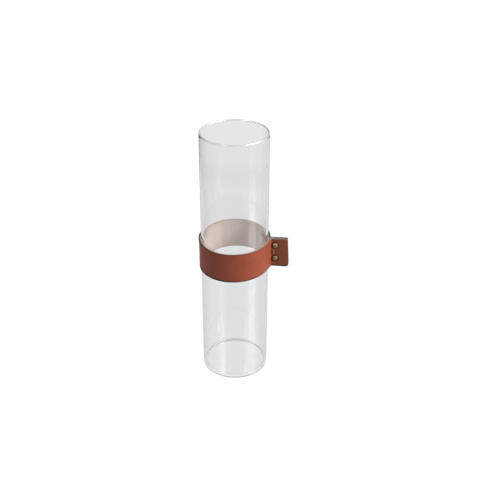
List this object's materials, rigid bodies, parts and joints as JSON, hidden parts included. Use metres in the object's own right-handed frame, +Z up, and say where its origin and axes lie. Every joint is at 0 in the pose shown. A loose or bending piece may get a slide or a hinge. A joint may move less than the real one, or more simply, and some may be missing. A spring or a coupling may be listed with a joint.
{
  "type": "cylindrical glass vase",
  "caption": "Tall straight clear-glass cylinder vase with a leather strap round it, its ends folded out into a short tab held by domed rivets.",
  "frame": {"origin": "centre of the underside of the glass, on the surface that the vase stands on", "axes": "+Z up the axis of the glass, +X out along the strap's tab, +Y towards the tab's back layer"},
  "size_m": [0.1206, 0.0952, 0.35],
  "materials": {
    "clear_glass": "clear colourless glass, smooth wall, fire-polished rim",
    "tan_leather": "smooth tan grain side, pale suede flesh side, raw cut edges",
    "aged_brass": "antiqued brass, darkened at the rims"
  },
  "bodies": {
    "vase": {"glass_vase": "clear_glass"},
    "band": {"leather_strap": "tan_leather", "upper_rivet_cap": "aged_brass", "upper_rivet_post": "aged_brass", "lower_rivet_cap": "aged_brass", "lower_rivet_post": "aged_brass"}
  },
  "joints": [
    {"name": "band_slide", "type": "slide", "parent": "vase", "child": "band", "axis": [0, 0, 1], "range_m": [-0.15, 0.14]}
  ]
}
